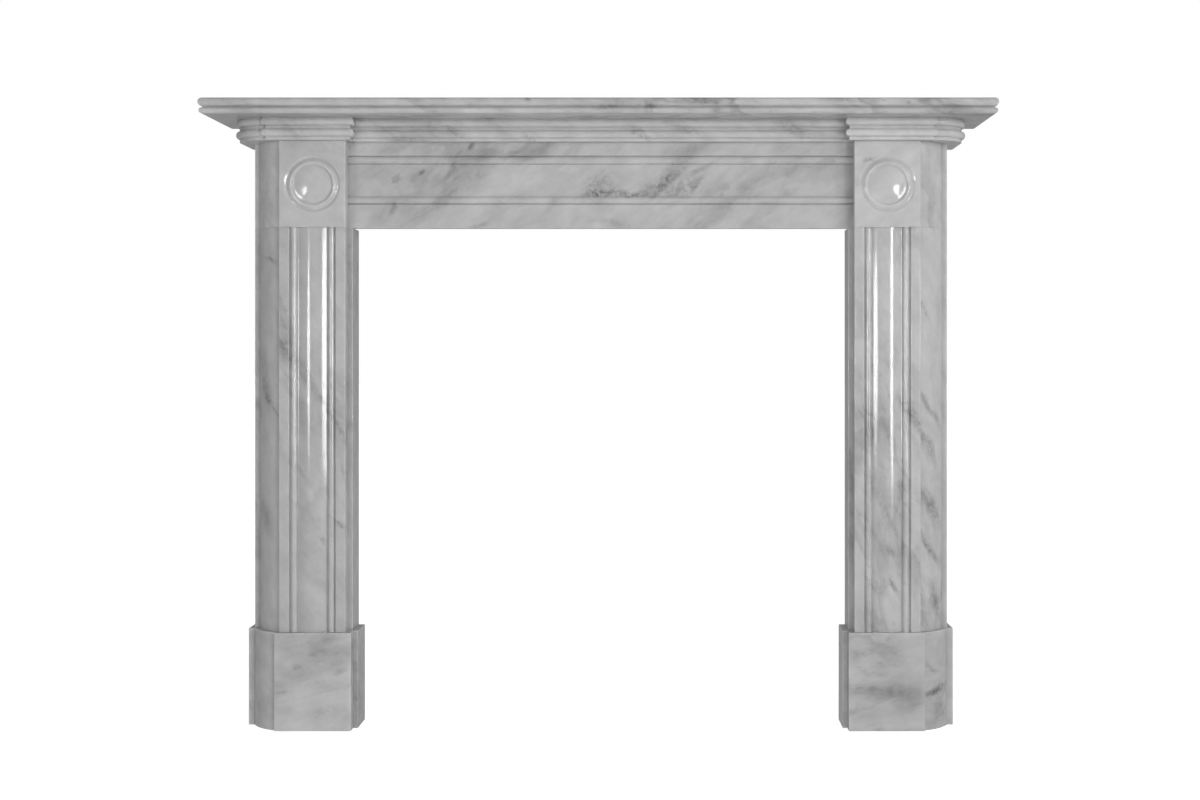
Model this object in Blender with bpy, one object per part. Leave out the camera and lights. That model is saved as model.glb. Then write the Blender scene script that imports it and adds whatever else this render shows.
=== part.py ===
"""A marble fireplace mantelpiece with reeded jambs, roundel corner blocks and a moulded shelf.

Sizes are in metres. X runs along the shelf, Y from the room towards the wall, and Z is up.
The origin is the middle of the footprint, on the floor.
A stone is drawn in plan as (across, depth). Across is the distance from the centre line, and
depth is the distance behind the face of the jambs, towards the wall. The stones of a pier are
drawn for the right side and mirrored for the left side.
"""

import math
from dataclasses import dataclass

import bmesh
import bpy

# The whole mantelpiece
OPENING_WIDTH = 0.960
OPENING_HEIGHT = 0.966
JAMB_DEPTH = 0.152
JOINT = 0.0003

# Jambs: a front slab, a rounded corner stone at its outer side, and a return slab on each side
FRONT_WIDTH = 0.127
FRONT_THICKNESS = 0.028
RETURN_THICKNESS = 0.022
INNER_STRIP = 0.009
OUTER_STRIP = 0.0098
QUIRK = 0.007
CORNER_SPAN = 0.0505
CORNER_TURN = math.radians(47)
REVEAL_BACK = 0.095

# Mouldings carved into the face of a jamb: two beads and a broad convex band between them
BAND_WIDTH = 0.054
BAND_RISE = 0.007
BAND_GROOVE = 0.003
BEAD_WIDTH = 0.012
BEAD_RISE = 0.0045
BEAD_GROOVE = 0.003

# Plinths, which stand proud of the jambs
PLINTH_HEIGHT = 0.188
PLINTH_PROUD = 0.010
PLINTH_INNER_PROUD = 0.012
PLINTH_CORNER_SPAN = 0.051
PLINTH_OUTER_STRIP = 0.0123

# Corner blocks, each with a roundel: an outer groove, a ring, an inner groove and a dome
BLOCK_HEIGHT = 0.1665
ROUNDEL_RADIUS = 0.0545
ROUNDEL_RISE_TO_CENTRE = 0.082
OUTER_GROOVE_RADIUS = 0.0505
OUTER_GROOVE_DEPTH = 0.0022
RING_CREST_RADIUS = 0.0416
RING_RISE = 0.002
INNER_GROOVE_RADIUS = 0.036
INNER_GROOVE_DEPTH = 0.0011
DOME_RADIUS = 0.033
DOME_EDGE_DEPTH = 0.0007
DOME_RISE = 0.004

# Frieze between the corner blocks, with two beads above and below a sunk panel
FRIEZE_THICKNESS = 0.022
FRIEZE_TAIL = 0.040
FRIEZE_LOWER_BEAD = 0.0540
FRIEZE_UPPER_BEAD = 0.1322
FRIEZE_BEAD_WIDTH = 0.0145
FRIEZE_GROOVE = 0.0015
FRIEZE_GROOVE_DEPTH = 0.0045
PANEL_DEPTH = 0.0055

# Moulding under the shelf: two rolls, each over a flat fillet
ROLL_HEIGHT = 0.0147
FILLET_HEIGHT = 0.0063
ROLL_PROJECTION = 0.007
CAPITAL_PROUD = 0.013
CAPITAL_INNER_PROUD = 0.011
CAPITAL_SIDE_PROUD = 0.026
CAPITAL_RADIUS = 0.056
CAPITAL_BACK = 0.078

# Shelf, with an upper roll, a fillet and a lower roll round its front and ends
SHELF_END_OVERHANG = 0.0422
SHELF_OVERHANG = 0.077
SHELF_LOWER_ROLL = 0.0115
SHELF_FILLET = 0.002
SHELF_UPPER_ROLL = 0.0165
SHELF_LOWER_PROJECTION = 0.006
SHELF_UPPER_PROJECTION = 0.0075

# Faceting of the round forms
CORNER_SEGMENTS = 8
QUARTER_SEGMENTS = 12
BAND_SEGMENTS = 14
BEAD_SEGMENTS = 8
ROLL_SEGMENTS = 8
ROUNDEL_SEGMENTS = 40
DOME_RINGS = 4
RING_STEPS = 3

# Heights of the courses, each course resting on the one below
BLOCK_BOTTOM = OPENING_HEIGHT
MOULDING_BOTTOM = BLOCK_BOTTOM + BLOCK_HEIGHT
SHELF_BOTTOM = MOULDING_BOTTOM + 2 * (FILLET_HEIGHT + ROLL_HEIGHT)

# The face of the jambs along Y, with the footprint of the shelf centred on the origin
FACE_Y = (SHELF_OVERHANG - JAMB_DEPTH) / 2

RIGHT = 1
LEFT = -1
SIDES = {"left": LEFT, "right": RIGHT}

MARBLE_COLOUR = (0.55, 0.55, 0.54, 1.0)
MARBLE_ROUGHNESS = 0.12


@dataclass
class Course:
    """The plan of one course of a pier: its front slab, rounded corner stone and returns."""

    inner: float
    outer: float
    face: float
    span: float
    strip: float
    reveal: float

    @property
    def corner_depth(self):
        """Depth of the back of the rounded corner, where the outer return starts."""
        return self.face + QUIRK + self.span

    @property
    def side(self):
        """The outer side of the course."""
        return self.outer + self.span + self.strip


JAMB = Course(
    inner=OPENING_WIDTH / 2 + INNER_STRIP,
    outer=OPENING_WIDTH / 2 + INNER_STRIP + FRONT_WIDTH,
    face=0.0,
    span=CORNER_SPAN,
    strip=OUTER_STRIP,
    reveal=OPENING_WIDTH / 2,
)
PLINTH = Course(
    inner=JAMB.inner - PLINTH_INNER_PROUD,
    outer=JAMB.side + PLINTH_PROUD - PLINTH_OUTER_STRIP - PLINTH_CORNER_SPAN,
    face=-PLINTH_PROUD,
    span=PLINTH_CORNER_SPAN,
    strip=PLINTH_OUTER_STRIP,
    reveal=JAMB.reveal - PLINTH_INNER_PROUD,
)


def material(name):
    """Polished grey-white marble."""
    stone = bpy.data.materials.new(name)
    stone.use_nodes = True
    shader = stone.node_tree.nodes["Principled BSDF"]
    shader.inputs["Base Color"].default_value = MARBLE_COLOUR
    shader.inputs["Roughness"].default_value = MARBLE_ROUGHNESS
    shader.inputs["Metallic"].default_value = 0.0
    return stone


def add_object(name, bm):
    """Turns a finished mesh into a named object with a marble material."""
    bmesh.ops.recalc_face_normals(bm, faces=bm.faces)
    mesh = bpy.data.meshes.new(name)
    bm.to_mesh(mesh)
    bm.free()
    mesh.shade_smooth()
    mesh.set_sharp_from_angle(angle=math.radians(30))
    mesh.materials.append(material(name + "_marble"))
    stone = bpy.data.objects.new(name, mesh)
    bpy.context.scene.collection.objects.link(stone)
    return stone


def add_rings(bm, rings):
    """Joins rings of as many corners with a band of faces between each two."""
    for lower, upper in zip(rings, rings[1:]):
        for i in range(len(lower)):
            j = (i + 1) % len(lower)
            bm.faces.new((lower[i], lower[j], upper[j], upper[i]))


def stone_in_plan(name, levels, side=RIGHT):
    """A stone whose plan changes with height. Levels are (height, plan), from the bottom up."""
    bm = bmesh.new()
    rings = [
        [bm.verts.new((side * across, FACE_Y + depth, height)) for across, depth in plan]
        for height, plan in levels
    ]
    add_rings(bm, rings)
    bm.faces.new(rings[0])
    bm.faces.new(rings[-1])
    return add_object(name, bm)


def upright_stone(name, plan, bottom, top, side):
    """A stone with one plan from bottom to top."""
    return stone_in_plan(name, [(bottom, plan), (top, plan)], side)


def stone_in_section(name, section, half_length):
    """A stone with one section, given as (depth, height), along the whole of its length."""
    bm = bmesh.new()
    rings = [
        [bm.verts.new((across, FACE_Y + depth, height)) for depth, height in section]
        for across in (-half_length, half_length)
    ]
    add_rings(bm, rings)
    bm.faces.new(rings[0])
    bm.faces.new(rings[-1])
    return add_object(name, bm)


def steps(low, high, count):
    """Evenly spaced values from low to high, both included."""
    return [low + (high - low) * i / count for i in range(count + 1)]


def quarter_arc(centre, radius):
    """The arc from straight in front of the centre round to its outer side."""
    across, depth = centre
    return [
        (across + radius * math.sin(angle), depth - radius * math.cos(angle))
        for angle in steps(0.0, math.pi / 2, QUARTER_SEGMENTS)
    ]


def half_round(low, high, rise, segments):
    """A half round from low to high along a face, as (place, height above the face)."""
    middle = (low + high) / 2
    half = (high - low) / 2
    return [
        (middle - half * math.cos(angle), rise * math.sin(angle))
        for angle in steps(0.0, math.pi, segments)
    ]


def carved_bead(low, high):
    """A bead carved into a face, as (place, depth below the face), its crown level with it."""
    return [
        (place, BEAD_RISE - rise)
        for place, rise in half_round(low, high, BEAD_RISE, BEAD_SEGMENTS)
    ]


def carved_band():
    """The broad convex band in the middle of a jamb, as (place, depth below the face)."""
    half = BAND_WIDTH / 2
    radius = (half**2 + BAND_RISE**2) / (2 * BAND_RISE)
    reach = math.asin(half / radius)
    return [
        (radius * math.sin(angle), radius - radius * math.cos(angle))
        for angle in steps(-reach, reach, BAND_SEGMENTS)
    ]


def jamb_face():
    """The face of a jamb from its middle outwards, and mirrored, as (place, depth)."""
    bead_low = BAND_WIDTH / 2 + BAND_GROOVE
    bead_high = bead_low + BEAD_WIDTH
    fillet_start = bead_high + BEAD_GROOVE
    outer_half = [(bead_low, BAND_RISE), *carved_bead(bead_low, bead_high)]
    outer_half += [(fillet_start, BEAD_RISE), (fillet_start, 0.0), (FRONT_WIDTH / 2, 0.0)]
    inner_half = [(-place, depth) for place, depth in reversed(outer_half)]
    return inner_half + carved_band() + outer_half


def front_slab(course):
    """Plan of a plain front slab."""
    back = course.face + FRONT_THICKNESS
    return [
        (course.inner, course.face),
        (course.outer, course.face),
        (course.outer, back),
        (course.inner, back),
    ]


def reeded_slab(course):
    """Plan of a front slab with the jamb mouldings on its face."""
    middle = (course.inner + course.outer) / 2
    back = course.face + FRONT_THICKNESS
    face = [(middle + place, course.face + depth) for place, depth in jamb_face()]
    return face + [(course.outer, back), (course.inner, back)]


def rounded_corner(course):
    """Plan of the corner stone, which stands between the front slab and the outer return.

    Its face is an arc that turns through CORNER_TURN, half way between the front and the side.
    """
    back = (course.outer + JOINT, course.corner_depth - JOINT)
    span = course.span - JOINT
    radius = span / math.sqrt(2) / math.sin(CORNER_TURN / 2)
    set_back = radius * math.cos(CORNER_TURN / 2) / math.sqrt(2)
    hub = (back[0] + span / 2 - set_back, back[1] - span / 2 + set_back)
    first = math.pi / 4 - CORNER_TURN / 2
    last = math.pi / 4 + CORNER_TURN / 2
    face = [
        (hub[0] + radius * math.sin(angle), hub[1] - radius * math.cos(angle))
        for angle in steps(first, last, CORNER_SEGMENTS)
    ]
    return [back, *face]


def outer_return(course):
    """Plan of the slab that runs back to the wall on the outer side."""
    inside = course.side - RETURN_THICKNESS
    return [
        (inside, course.corner_depth),
        (course.side, course.corner_depth),
        (course.side, JAMB_DEPTH),
        (inside, JAMB_DEPTH),
    ]


def inner_return(course):
    """Plan of the slab that lines the fire opening, stopped short of the wall for the slips."""
    front = course.face + FRONT_THICKNESS + JOINT
    outside = course.reveal + RETURN_THICKNESS
    return [
        (course.reveal, front),
        (outside, front),
        (outside, REVEAL_BACK),
        (course.reveal, REVEAL_BACK),
    ]


def roundel_rings():
    """The roundel from its rim inwards, as (radius, rise above the block's face)."""
    rings = [(ROUNDEL_RADIUS, 0.0)]
    outer_span = OUTER_GROOVE_RADIUS - RING_CREST_RADIUS
    inner_span = RING_CREST_RADIUS - INNER_GROOVE_RADIUS
    outer_rise = RING_RISE + OUTER_GROOVE_DEPTH
    inner_rise = RING_RISE + INNER_GROOVE_DEPTH
    for angle in steps(0.0, math.pi / 2, RING_STEPS):
        radius = RING_CREST_RADIUS + outer_span * math.cos(angle)
        rings.append((radius, outer_rise * math.sin(angle) - OUTER_GROOVE_DEPTH))
    for angle in steps(math.pi / 2, math.pi, RING_STEPS)[1:]:
        radius = RING_CREST_RADIUS + inner_span * math.cos(angle)
        rings.append((radius, inner_rise * math.sin(angle) - INNER_GROOVE_DEPTH))
    dome_rise = DOME_RISE + DOME_EDGE_DEPTH
    for share in steps(1.0, 0.0, DOME_RINGS)[:-1]:
        rings.append((DOME_RADIUS * share, dome_rise * (1 - share**2) - DOME_EDGE_DEPTH))
    return rings


def corner_block(name, side):
    """The front stone of a corner block, with the roundel carved in its face."""
    plan = front_slab(JAMB)
    bottom = BLOCK_BOTTOM + JOINT
    top = MOULDING_BOTTOM
    centre_across = (JAMB.inner + JAMB.outer) / 2
    centre_height = BLOCK_BOTTOM + ROUNDEL_RISE_TO_CENTRE
    bm = bmesh.new()
    corners = [
        [bm.verts.new((side * across, FACE_Y + depth, height)) for across, depth in plan]
        for height in (bottom, top)
    ]
    low, high = corners
    for i, j in ((1, 2), (2, 3), (3, 0)):
        bm.faces.new((low[i], low[j], high[j], high[i]))
    bm.faces.new(low)
    bm.faces.new(high)
    rings = []
    for radius, rise in roundel_rings():
        ring = []
        for i in range(ROUNDEL_SEGMENTS):
            angle = 2 * math.pi * i / ROUNDEL_SEGMENTS
            across = side * (centre_across + radius * math.cos(angle))
            height = centre_height + radius * math.sin(angle)
            ring.append(bm.verts.new((across, FACE_Y + JAMB.face - rise, height)))
        rings.append(ring)
    add_rings(bm, rings)
    crown = (side * centre_across, FACE_Y + JAMB.face - DOME_RISE, centre_height)
    middle = bm.verts.new(crown)
    last = rings[-1]
    for i in range(ROUNDEL_SEGMENTS):
        bm.faces.new((last[i], last[(i + 1) % ROUNDEL_SEGMENTS], middle))
    face_edges = [edge for edge in bm.edges if edge.is_boundary]
    bmesh.ops.triangle_fill(bm, use_beauty=True, edges=face_edges)
    return add_object(name, bm)


def bed_profile():
    """The moulding under the shelf, as (height, projection), from the bottom up."""
    profile = [(MOULDING_BOTTOM + JOINT, 0.0)]
    roll_low = MOULDING_BOTTOM + FILLET_HEIGHT
    for _ in range(2):
        roll_high = roll_low + ROLL_HEIGHT
        profile += half_round(roll_low, roll_high, ROLL_PROJECTION, ROLL_SEGMENTS)
        roll_low = roll_high + FILLET_HEIGHT
    return profile


def shelf_profile():
    """The edge of the shelf, as (height, projection), from the bottom up."""
    lower_high = SHELF_BOTTOM + SHELF_LOWER_ROLL
    upper_low = lower_high + SHELF_FILLET
    upper_high = upper_low + SHELF_UPPER_ROLL
    lower_roll = half_round(
        SHELF_BOTTOM + JOINT, lower_high, SHELF_LOWER_PROJECTION, ROLL_SEGMENTS
    )
    upper_roll = half_round(upper_low, upper_high, SHELF_UPPER_PROJECTION, ROLL_SEGMENTS)
    return lower_roll + upper_roll


def capital_front(projection):
    """Plan of the front stone of a capital where its moulding has this projection."""
    inner = JAMB.inner - CAPITAL_INNER_PROUD - projection
    outer = capital_centre()[0] - ROLL_PROJECTION + projection
    face = JAMB.face - CAPITAL_PROUD - projection
    back = FRONT_THICKNESS + RETURN_THICKNESS
    return [(inner, face), (outer, face), (outer, back), (inner, back)]


def capital_centre():
    """Centre of the quadrant at the outer corner of a capital."""
    across = JAMB.side + CAPITAL_SIDE_PROUD - CAPITAL_RADIUS
    depth = JAMB.face - CAPITAL_PROUD + QUIRK + CAPITAL_RADIUS
    return across, depth


def capital_corner(projection):
    """Plan of the corner stone of a capital: a quadrant, and a return running to the wall."""
    centre = capital_centre()
    radius = CAPITAL_RADIUS + projection
    start = centre[0] - ROLL_PROJECTION + projection + JOINT
    inside = JAMB.side - RETURN_THICKNESS
    arc = quarter_arc(centre, radius)
    arc[0] = (max(start, centre[0]), arc[0][1])
    return [
        (start, CAPITAL_BACK),
        (start, centre[1] - radius),
        *arc,
        (centre[0] + radius, JAMB_DEPTH),
        (inside, JAMB_DEPTH),
        (inside, CAPITAL_BACK),
    ]


def bed_mould(projection):
    """Plan of the moulding over the frieze, its ends cut to the profile of the capitals."""
    end = JAMB.inner - CAPITAL_INNER_PROUD - projection - JOINT
    face = FRONT_THICKNESS - CAPITAL_PROUD - projection
    back = FRONT_THICKNESS + RETURN_THICKNESS
    return [(-end, face), (end, face), (end, back), (-end, back)]


def shelf_plan(projection):
    """Plan of the shelf where its edge has this projection. Its ends overhang the capitals."""
    capital_end = JAMB.side + CAPITAL_SIDE_PROUD + ROLL_PROJECTION
    end = capital_end + SHELF_END_OVERHANG - SHELF_UPPER_PROJECTION + projection
    face = SHELF_UPPER_PROJECTION - SHELF_OVERHANG - projection
    return [(-end, face), (end, face), (end, JAMB_DEPTH), (-end, JAMB_DEPTH)]


def frieze_section():
    """Section of the frieze, with its face set back to the back of the front slabs."""
    face = FRONT_THICKNESS + JOINT
    bottom = BLOCK_BOTTOM + JOINT
    half_bead = FRIEZE_BEAD_WIDTH / 2
    section = [(face, bottom)]
    for centre, below, above in (
        (FRIEZE_LOWER_BEAD, 0.0, PANEL_DEPTH),
        (FRIEZE_UPPER_BEAD, PANEL_DEPTH, 0.0),
    ):
        low = BLOCK_BOTTOM + centre - half_bead
        high = BLOCK_BOTTOM + centre + half_bead
        bead = carved_bead(low, high)
        groove_depth = max(below, FRIEZE_GROOVE_DEPTH)
        if below < FRIEZE_GROOVE_DEPTH:
            section.append((face + below, low - FRIEZE_GROOVE))
        section.append((face + groove_depth, low - FRIEZE_GROOVE))
        section += [(face + depth, height) for height, depth in bead]
        groove_depth = max(above, FRIEZE_GROOVE_DEPTH)
        section.append((face + groove_depth, high + FRIEZE_GROOVE))
        if above < FRIEZE_GROOVE_DEPTH:
            section.append((face + above, high + FRIEZE_GROOVE))
    section.append((face, MOULDING_BOTTOM))
    section.append((face + FRIEZE_THICKNESS, MOULDING_BOTTOM))
    section.append((face + FRIEZE_THICKNESS, bottom))
    return section


def build_pier(prefix, side):
    """The stones of one pier, from the plinth to the capital."""
    upright_stone(prefix + "_plinth_front", front_slab(PLINTH), 0.0, PLINTH_HEIGHT, side)
    upright_stone(prefix + "_plinth_corner", rounded_corner(PLINTH), 0.0, PLINTH_HEIGHT, side)
    upright_stone(prefix + "_plinth_outer_return", outer_return(PLINTH), 0.0, PLINTH_HEIGHT, side)
    upright_stone(prefix + "_plinth_inner_return", inner_return(PLINTH), 0.0, PLINTH_HEIGHT, side)

    jamb_bottom = PLINTH_HEIGHT + JOINT
    upright_stone(prefix + "_jamb_front", reeded_slab(JAMB), jamb_bottom, BLOCK_BOTTOM, side)
    upright_stone(prefix + "_jamb_corner", rounded_corner(JAMB), jamb_bottom, BLOCK_BOTTOM, side)
    upright_stone(prefix + "_jamb_outer_return", outer_return(JAMB), jamb_bottom, BLOCK_BOTTOM, side)
    upright_stone(prefix + "_jamb_inner_return", inner_return(JAMB), jamb_bottom, BLOCK_BOTTOM, side)

    block_bottom = BLOCK_BOTTOM + JOINT
    corner_block(prefix + "_block_front", side)
    upright_stone(prefix + "_block_corner", rounded_corner(JAMB), block_bottom, MOULDING_BOTTOM, side)
    upright_stone(
        prefix + "_block_outer_return", outer_return(JAMB), block_bottom, MOULDING_BOTTOM, side
    )

    front = [(height, capital_front(projection)) for height, projection in bed_profile()]
    stone_in_plan(prefix + "_capital_front", front, side)
    corner = [(height, capital_corner(projection)) for height, projection in bed_profile()]
    stone_in_plan(prefix + "_capital_corner", corner, side)


def build_top():
    """The frieze, the moulding over it and the shelf."""
    stone_in_section("frieze_panel", frieze_section(), JAMB.inner + FRIEZE_TAIL)
    bed = [(height, bed_mould(projection)) for height, projection in bed_profile()]
    stone_in_plan("frieze_bed_mould", bed)
    shelf = [(height, shelf_plan(projection)) for height, projection in shelf_profile()]
    stone_in_plan("mantel_shelf", shelf)


def main():
    for leftover in list(bpy.data.objects):
        bpy.data.objects.remove(leftover)
    for prefix, side in SIDES.items():
        build_pier(prefix, side)
    build_top()


main()
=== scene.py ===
"""The looks of the marble mantelpiece: each stone finely cut, polished and veined, in a studio.

Sizes are in metres. Stones take their places from the frame. X runs along the shelf, Y from the
room towards the wall, Z up. Each stone is modelled in place, so its object stays at the origin.
"""

import math
from dataclasses import dataclass

import bmesh
import bpy
from mathutils import Matrix, Vector


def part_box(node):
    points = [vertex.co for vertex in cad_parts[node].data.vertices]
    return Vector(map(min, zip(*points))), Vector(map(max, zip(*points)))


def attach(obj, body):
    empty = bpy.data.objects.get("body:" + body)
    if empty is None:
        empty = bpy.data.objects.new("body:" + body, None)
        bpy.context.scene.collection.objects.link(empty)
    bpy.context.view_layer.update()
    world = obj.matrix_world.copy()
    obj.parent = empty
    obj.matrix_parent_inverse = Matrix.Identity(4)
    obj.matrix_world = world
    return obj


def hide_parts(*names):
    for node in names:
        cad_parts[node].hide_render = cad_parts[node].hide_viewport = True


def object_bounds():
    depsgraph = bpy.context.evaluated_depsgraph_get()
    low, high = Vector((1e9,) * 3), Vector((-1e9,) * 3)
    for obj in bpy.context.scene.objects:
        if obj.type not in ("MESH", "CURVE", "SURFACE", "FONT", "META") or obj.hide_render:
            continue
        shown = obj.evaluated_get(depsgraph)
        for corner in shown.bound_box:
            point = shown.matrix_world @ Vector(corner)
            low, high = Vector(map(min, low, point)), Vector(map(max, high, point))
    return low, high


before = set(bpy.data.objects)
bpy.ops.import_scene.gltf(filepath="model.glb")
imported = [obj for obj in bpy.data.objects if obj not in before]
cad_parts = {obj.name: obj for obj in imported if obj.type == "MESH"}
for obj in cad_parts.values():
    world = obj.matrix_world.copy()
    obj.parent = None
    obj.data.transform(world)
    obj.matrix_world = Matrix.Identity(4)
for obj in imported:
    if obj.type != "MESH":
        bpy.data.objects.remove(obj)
cad_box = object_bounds()
bpy.ops.object.select_all(action="DESELECT")

# Mouldings on the face of a jamb and of the frieze
BAND_WIDTH = 0.054
BAND_RISE = 0.007
BAND_GROOVE = 0.003
BEAD_WIDTH = 0.012
BEAD_RISE = 0.0045
BEAD_GROOVE = 0.003
FRIEZE_LOWER_BEAD = 0.0540
FRIEZE_UPPER_BEAD = 0.1322
FRIEZE_BEAD_WIDTH = 0.0145
FRIEZE_GROOVE = 0.0015
FRIEZE_GROOVE_DEPTH = 0.003
PANEL_DEPTH = 0.0055

# Roundel, from its rim to its dome
ROUNDEL_RADIUS = 0.0545
ROUNDEL_LIP = 0.0004
ROUNDEL_RISE_TO_CENTRE = 0.082
OUTER_GROOVE_RADIUS = 0.0505
OUTER_GROOVE_DEPTH = 0.0022
RING_CREST_RADIUS = 0.0416
RING_RISE = 0.002
INNER_GROOVE_RADIUS = 0.036
INNER_GROOVE_DEPTH = 0.0011
DOME_RADIUS = 0.033
DOME_EDGE_DEPTH = 0.0007
DOME_RISE = 0.004

# Moulding under the shelf and edge of the shelf
ROLL_HEIGHT = 0.0147
FILLET_HEIGHT = 0.0063
ROLL_PROJECTION = 0.007
TOP_ROLL_END = 0.6
ENDS_STAND_OUT = 1
ENDS_CUT_BACK = -1
CAPITAL_BACK = 0.078
CORNER_LEAD = 0.0006
SHELF_LOWER_ROLL = 0.0115
SHELF_FILLET = 0.002
SHELF_UPPER_ROLL = 0.0165
SHELF_LOWER_PROJECTION = 0.006
SHELF_UPPER_PROJECTION = 0.0075

# Rounded outer corners of the piers, half way between the front and the side
CORNER_TURN = math.radians(47)
CORNER_STEPS = 30

# Finish of the cutting
JOINT = 0.0003
ARRIS = 0.0003
ARRIS_STEPS = 2
ARRIS_ANGLE = math.radians(34)
LEFT_UPRIGHT_ARRIS = 0.0006
RIGHT_UPRIGHT_ARRIS = 0.0012
UPRIGHT_ARRIS_STEPS = 4

# Steps of each round part
BEAD_STEPS = 20
BAND_STEPS = 40
ROLL_STEPS = 18
QUARTER_STEPS = 40
ROUNDEL_STEPS = 112
RING_STEPS = 12
DOME_STEPS = 14

# What counts as one place, as an upright edge and as a face towards the room
SAME_PLACE = 1e-5
UPRIGHT_SHARE = 0.999
TOWARDS_ROOM = -0.9

# Size of the face that is merged into a pen's first point
PEN_POINT = 0.01

UP = Vector((0, 0, 1))
ALONG = Vector((1, 0, 0))


# Hands: the few moves that every stone is cut with

def edit():
    bpy.ops.object.mode_set(mode="EDIT")


def leave_edit():
    bpy.ops.object.mode_set(mode="OBJECT")


def pick(piece, kind, test):
    """In edit mode, selects only the vertices, edges or faces that pass the test."""
    bpy.ops.mesh.select_mode(type=kind)
    bpy.ops.mesh.select_all(action="DESELECT")
    mesh = bmesh.from_edit_mesh(piece.data)
    for part in {"VERT": mesh.verts, "EDGE": mesh.edges, "FACE": mesh.faces}[kind]:
        if test(part):
            part.select_set(True)
    bmesh.update_edit_mesh(piece.data)


def pick_at(piece, level, test):
    """In edit mode, selects the vertices of one level that pass the test."""
    pick(piece, "VERT", lambda v: abs(v.co.z - level) < SAME_PLACE and test(v.co))


def shift(move):
    bpy.ops.transform.translate(value=move)


def draw_out(move):
    """Extrudes what is selected, and moves the new part."""
    bpy.ops.mesh.extrude_region_move(TRANSFORM_OT_translate={"value": move})


def spread(factors, pivot):
    bpy.ops.transform.resize(value=factors, center_override=pivot)


def close_up():
    """In edit mode, merges the seams of a stone and turns its faces outwards."""
    bpy.ops.mesh.select_all(action="SELECT")
    bpy.ops.mesh.remove_doubles(threshold=SAME_PLACE)
    bpy.ops.mesh.normals_make_consistent(inside=False)


def sawn_block(node, low, high):
    """A plain block between two corners, open for editing."""
    bpy.ops.mesh.primitive_cube_add(size=1, location=(low + high) / 2, scale=high - low)
    piece = bpy.context.active_object
    piece.name = node + "_stone"
    bpy.ops.object.transform_apply(location=True, rotation=True, scale=True)
    edit()
    return piece


def low_arc(half, rise):
    """Radius and turn of the arc that is twice half wide and rises by rise."""
    radius = (half**2 + rise**2) / (2 * rise)
    return radius, 2 * math.asin(half / radius)


class Pen:
    """Draws an outline by hand: a vertex drawn along straight runs and spun round curved ones."""

    def __init__(self, name, start):
        bpy.ops.mesh.primitive_plane_add(size=PEN_POINT, location=(0, 0, 0))
        self.piece = bpy.context.active_object
        self.piece.name = name
        edit()
        bpy.ops.mesh.select_mode(type="VERT")
        bpy.ops.mesh.select_all(action="SELECT")
        bpy.ops.mesh.merge(type="CENTER")
        self.here = Vector(start)
        shift(self.here)

    def line(self, *there):
        there = Vector(there)
        bpy.ops.mesh.extrude_vertices_move(TRANSFORM_OT_translate={"value": there - self.here})
        self.here = there

    def arc(self, centre, angle, axis, steps):
        centre = Vector(centre)
        bpy.ops.mesh.spin(steps=steps, angle=-angle, center=centre, axis=axis)
        self.here = centre + Matrix.Rotation(angle, 3, axis) @ (self.here - centre)

    def fill(self):
        bpy.ops.mesh.select_all(action="SELECT")
        bpy.ops.mesh.edge_face_add()


def ease_arrises(piece):
    """Takes the sharpness off the edges of a finished stone, and smooths its round parts."""
    close_up()
    leave_edit()
    bpy.ops.object.shade_smooth()
    bpy.ops.object.modifier_add(type="BEVEL")
    bevel = piece.modifiers[-1]
    bevel.width = ARRIS
    bevel.segments = ARRIS_STEPS
    bevel.limit_method = "ANGLE"
    bevel.angle_limit = ARRIS_ANGLE
    bpy.ops.object.modifier_apply(modifier=bevel.name)
    bpy.ops.object.modifier_add(type="WEIGHTED_NORMAL")
    bpy.ops.object.modifier_apply(modifier=piece.modifiers[-1].name)
    bpy.ops.object.select_all(action="DESELECT")
    return piece


def round_uprights(piece):
    """Rounds the arrises that run from top to bottom, most of all on the right pier."""

    def upright(edge):
        run = edge.verts[0].co - edge.verts[1].co
        sharp = edge.is_convex and edge.calc_face_angle(0) > ARRIS_ANGLE
        return sharp and abs(run.z) > UPRIGHT_SHARE * run.length

    close_up()
    pick(piece, "EDGE", upright)
    bpy.ops.mesh.bevel(
        offset=LEFT_UPRIGHT_ARRIS if piece.name.startswith("left") else RIGHT_UPRIGHT_ARRIS,
        segments=UPRIGHT_ARRIS_STEPS,
        affect="EDGES",
        clamp_overlap=True,
    )


def side_of(node):
    """1 for a stone of the right pier, and -1 for one of the left."""
    low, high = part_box(node)
    return 1 if low.x + high.x > 0 else -1


# Stones

def stone_box(node):
    """The box of a stone, which comes down through the joint onto the stone below it."""
    low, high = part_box(node)
    if low.z > JOINT:
        low.z -= JOINT
    return low, high


def plain_slab(node):
    """A flat sawn slab."""
    piece = sawn_block(node, *stone_box(node))
    round_uprights(piece)
    return ease_arrises(piece)


def rounded_corner(node):
    """The stone at the outer corner of a pier, its face an arc between the front and the side."""
    low, high = stone_box(node)
    side = side_of(node)
    span = high.x - low.x
    back = Vector((low.x if side > 0 else high.x, high.y, low.z))
    radius = span / math.sqrt(2) / math.sin(CORNER_TURN / 2)
    set_back = radius * math.cos(CORNER_TURN / 2) / math.sqrt(2)
    hub = back + Vector((side * (span / 2 - set_back), set_back - span / 2, 0))
    pen = Pen(node + "_stone", back)
    pen.line(back.x, low.y, low.z)
    pen.arc(hub, side * CORNER_TURN, UP, CORNER_STEPS)
    pen.fill()
    draw_out((0, 0, high.z - low.z))
    round_uprights(pen.piece)
    return ease_arrises(pen.piece)


def draw_bead(pen, start, crown, axis, width):
    """A bead from start, its crown level with the face, as a circular arc turned about axis."""
    radius, turn = low_arc(width / 2, BEAD_RISE)
    pen.line(*start)
    pen.arc(crown + Vector((0, radius, 0)), turn, axis, BEAD_STEPS)


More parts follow.
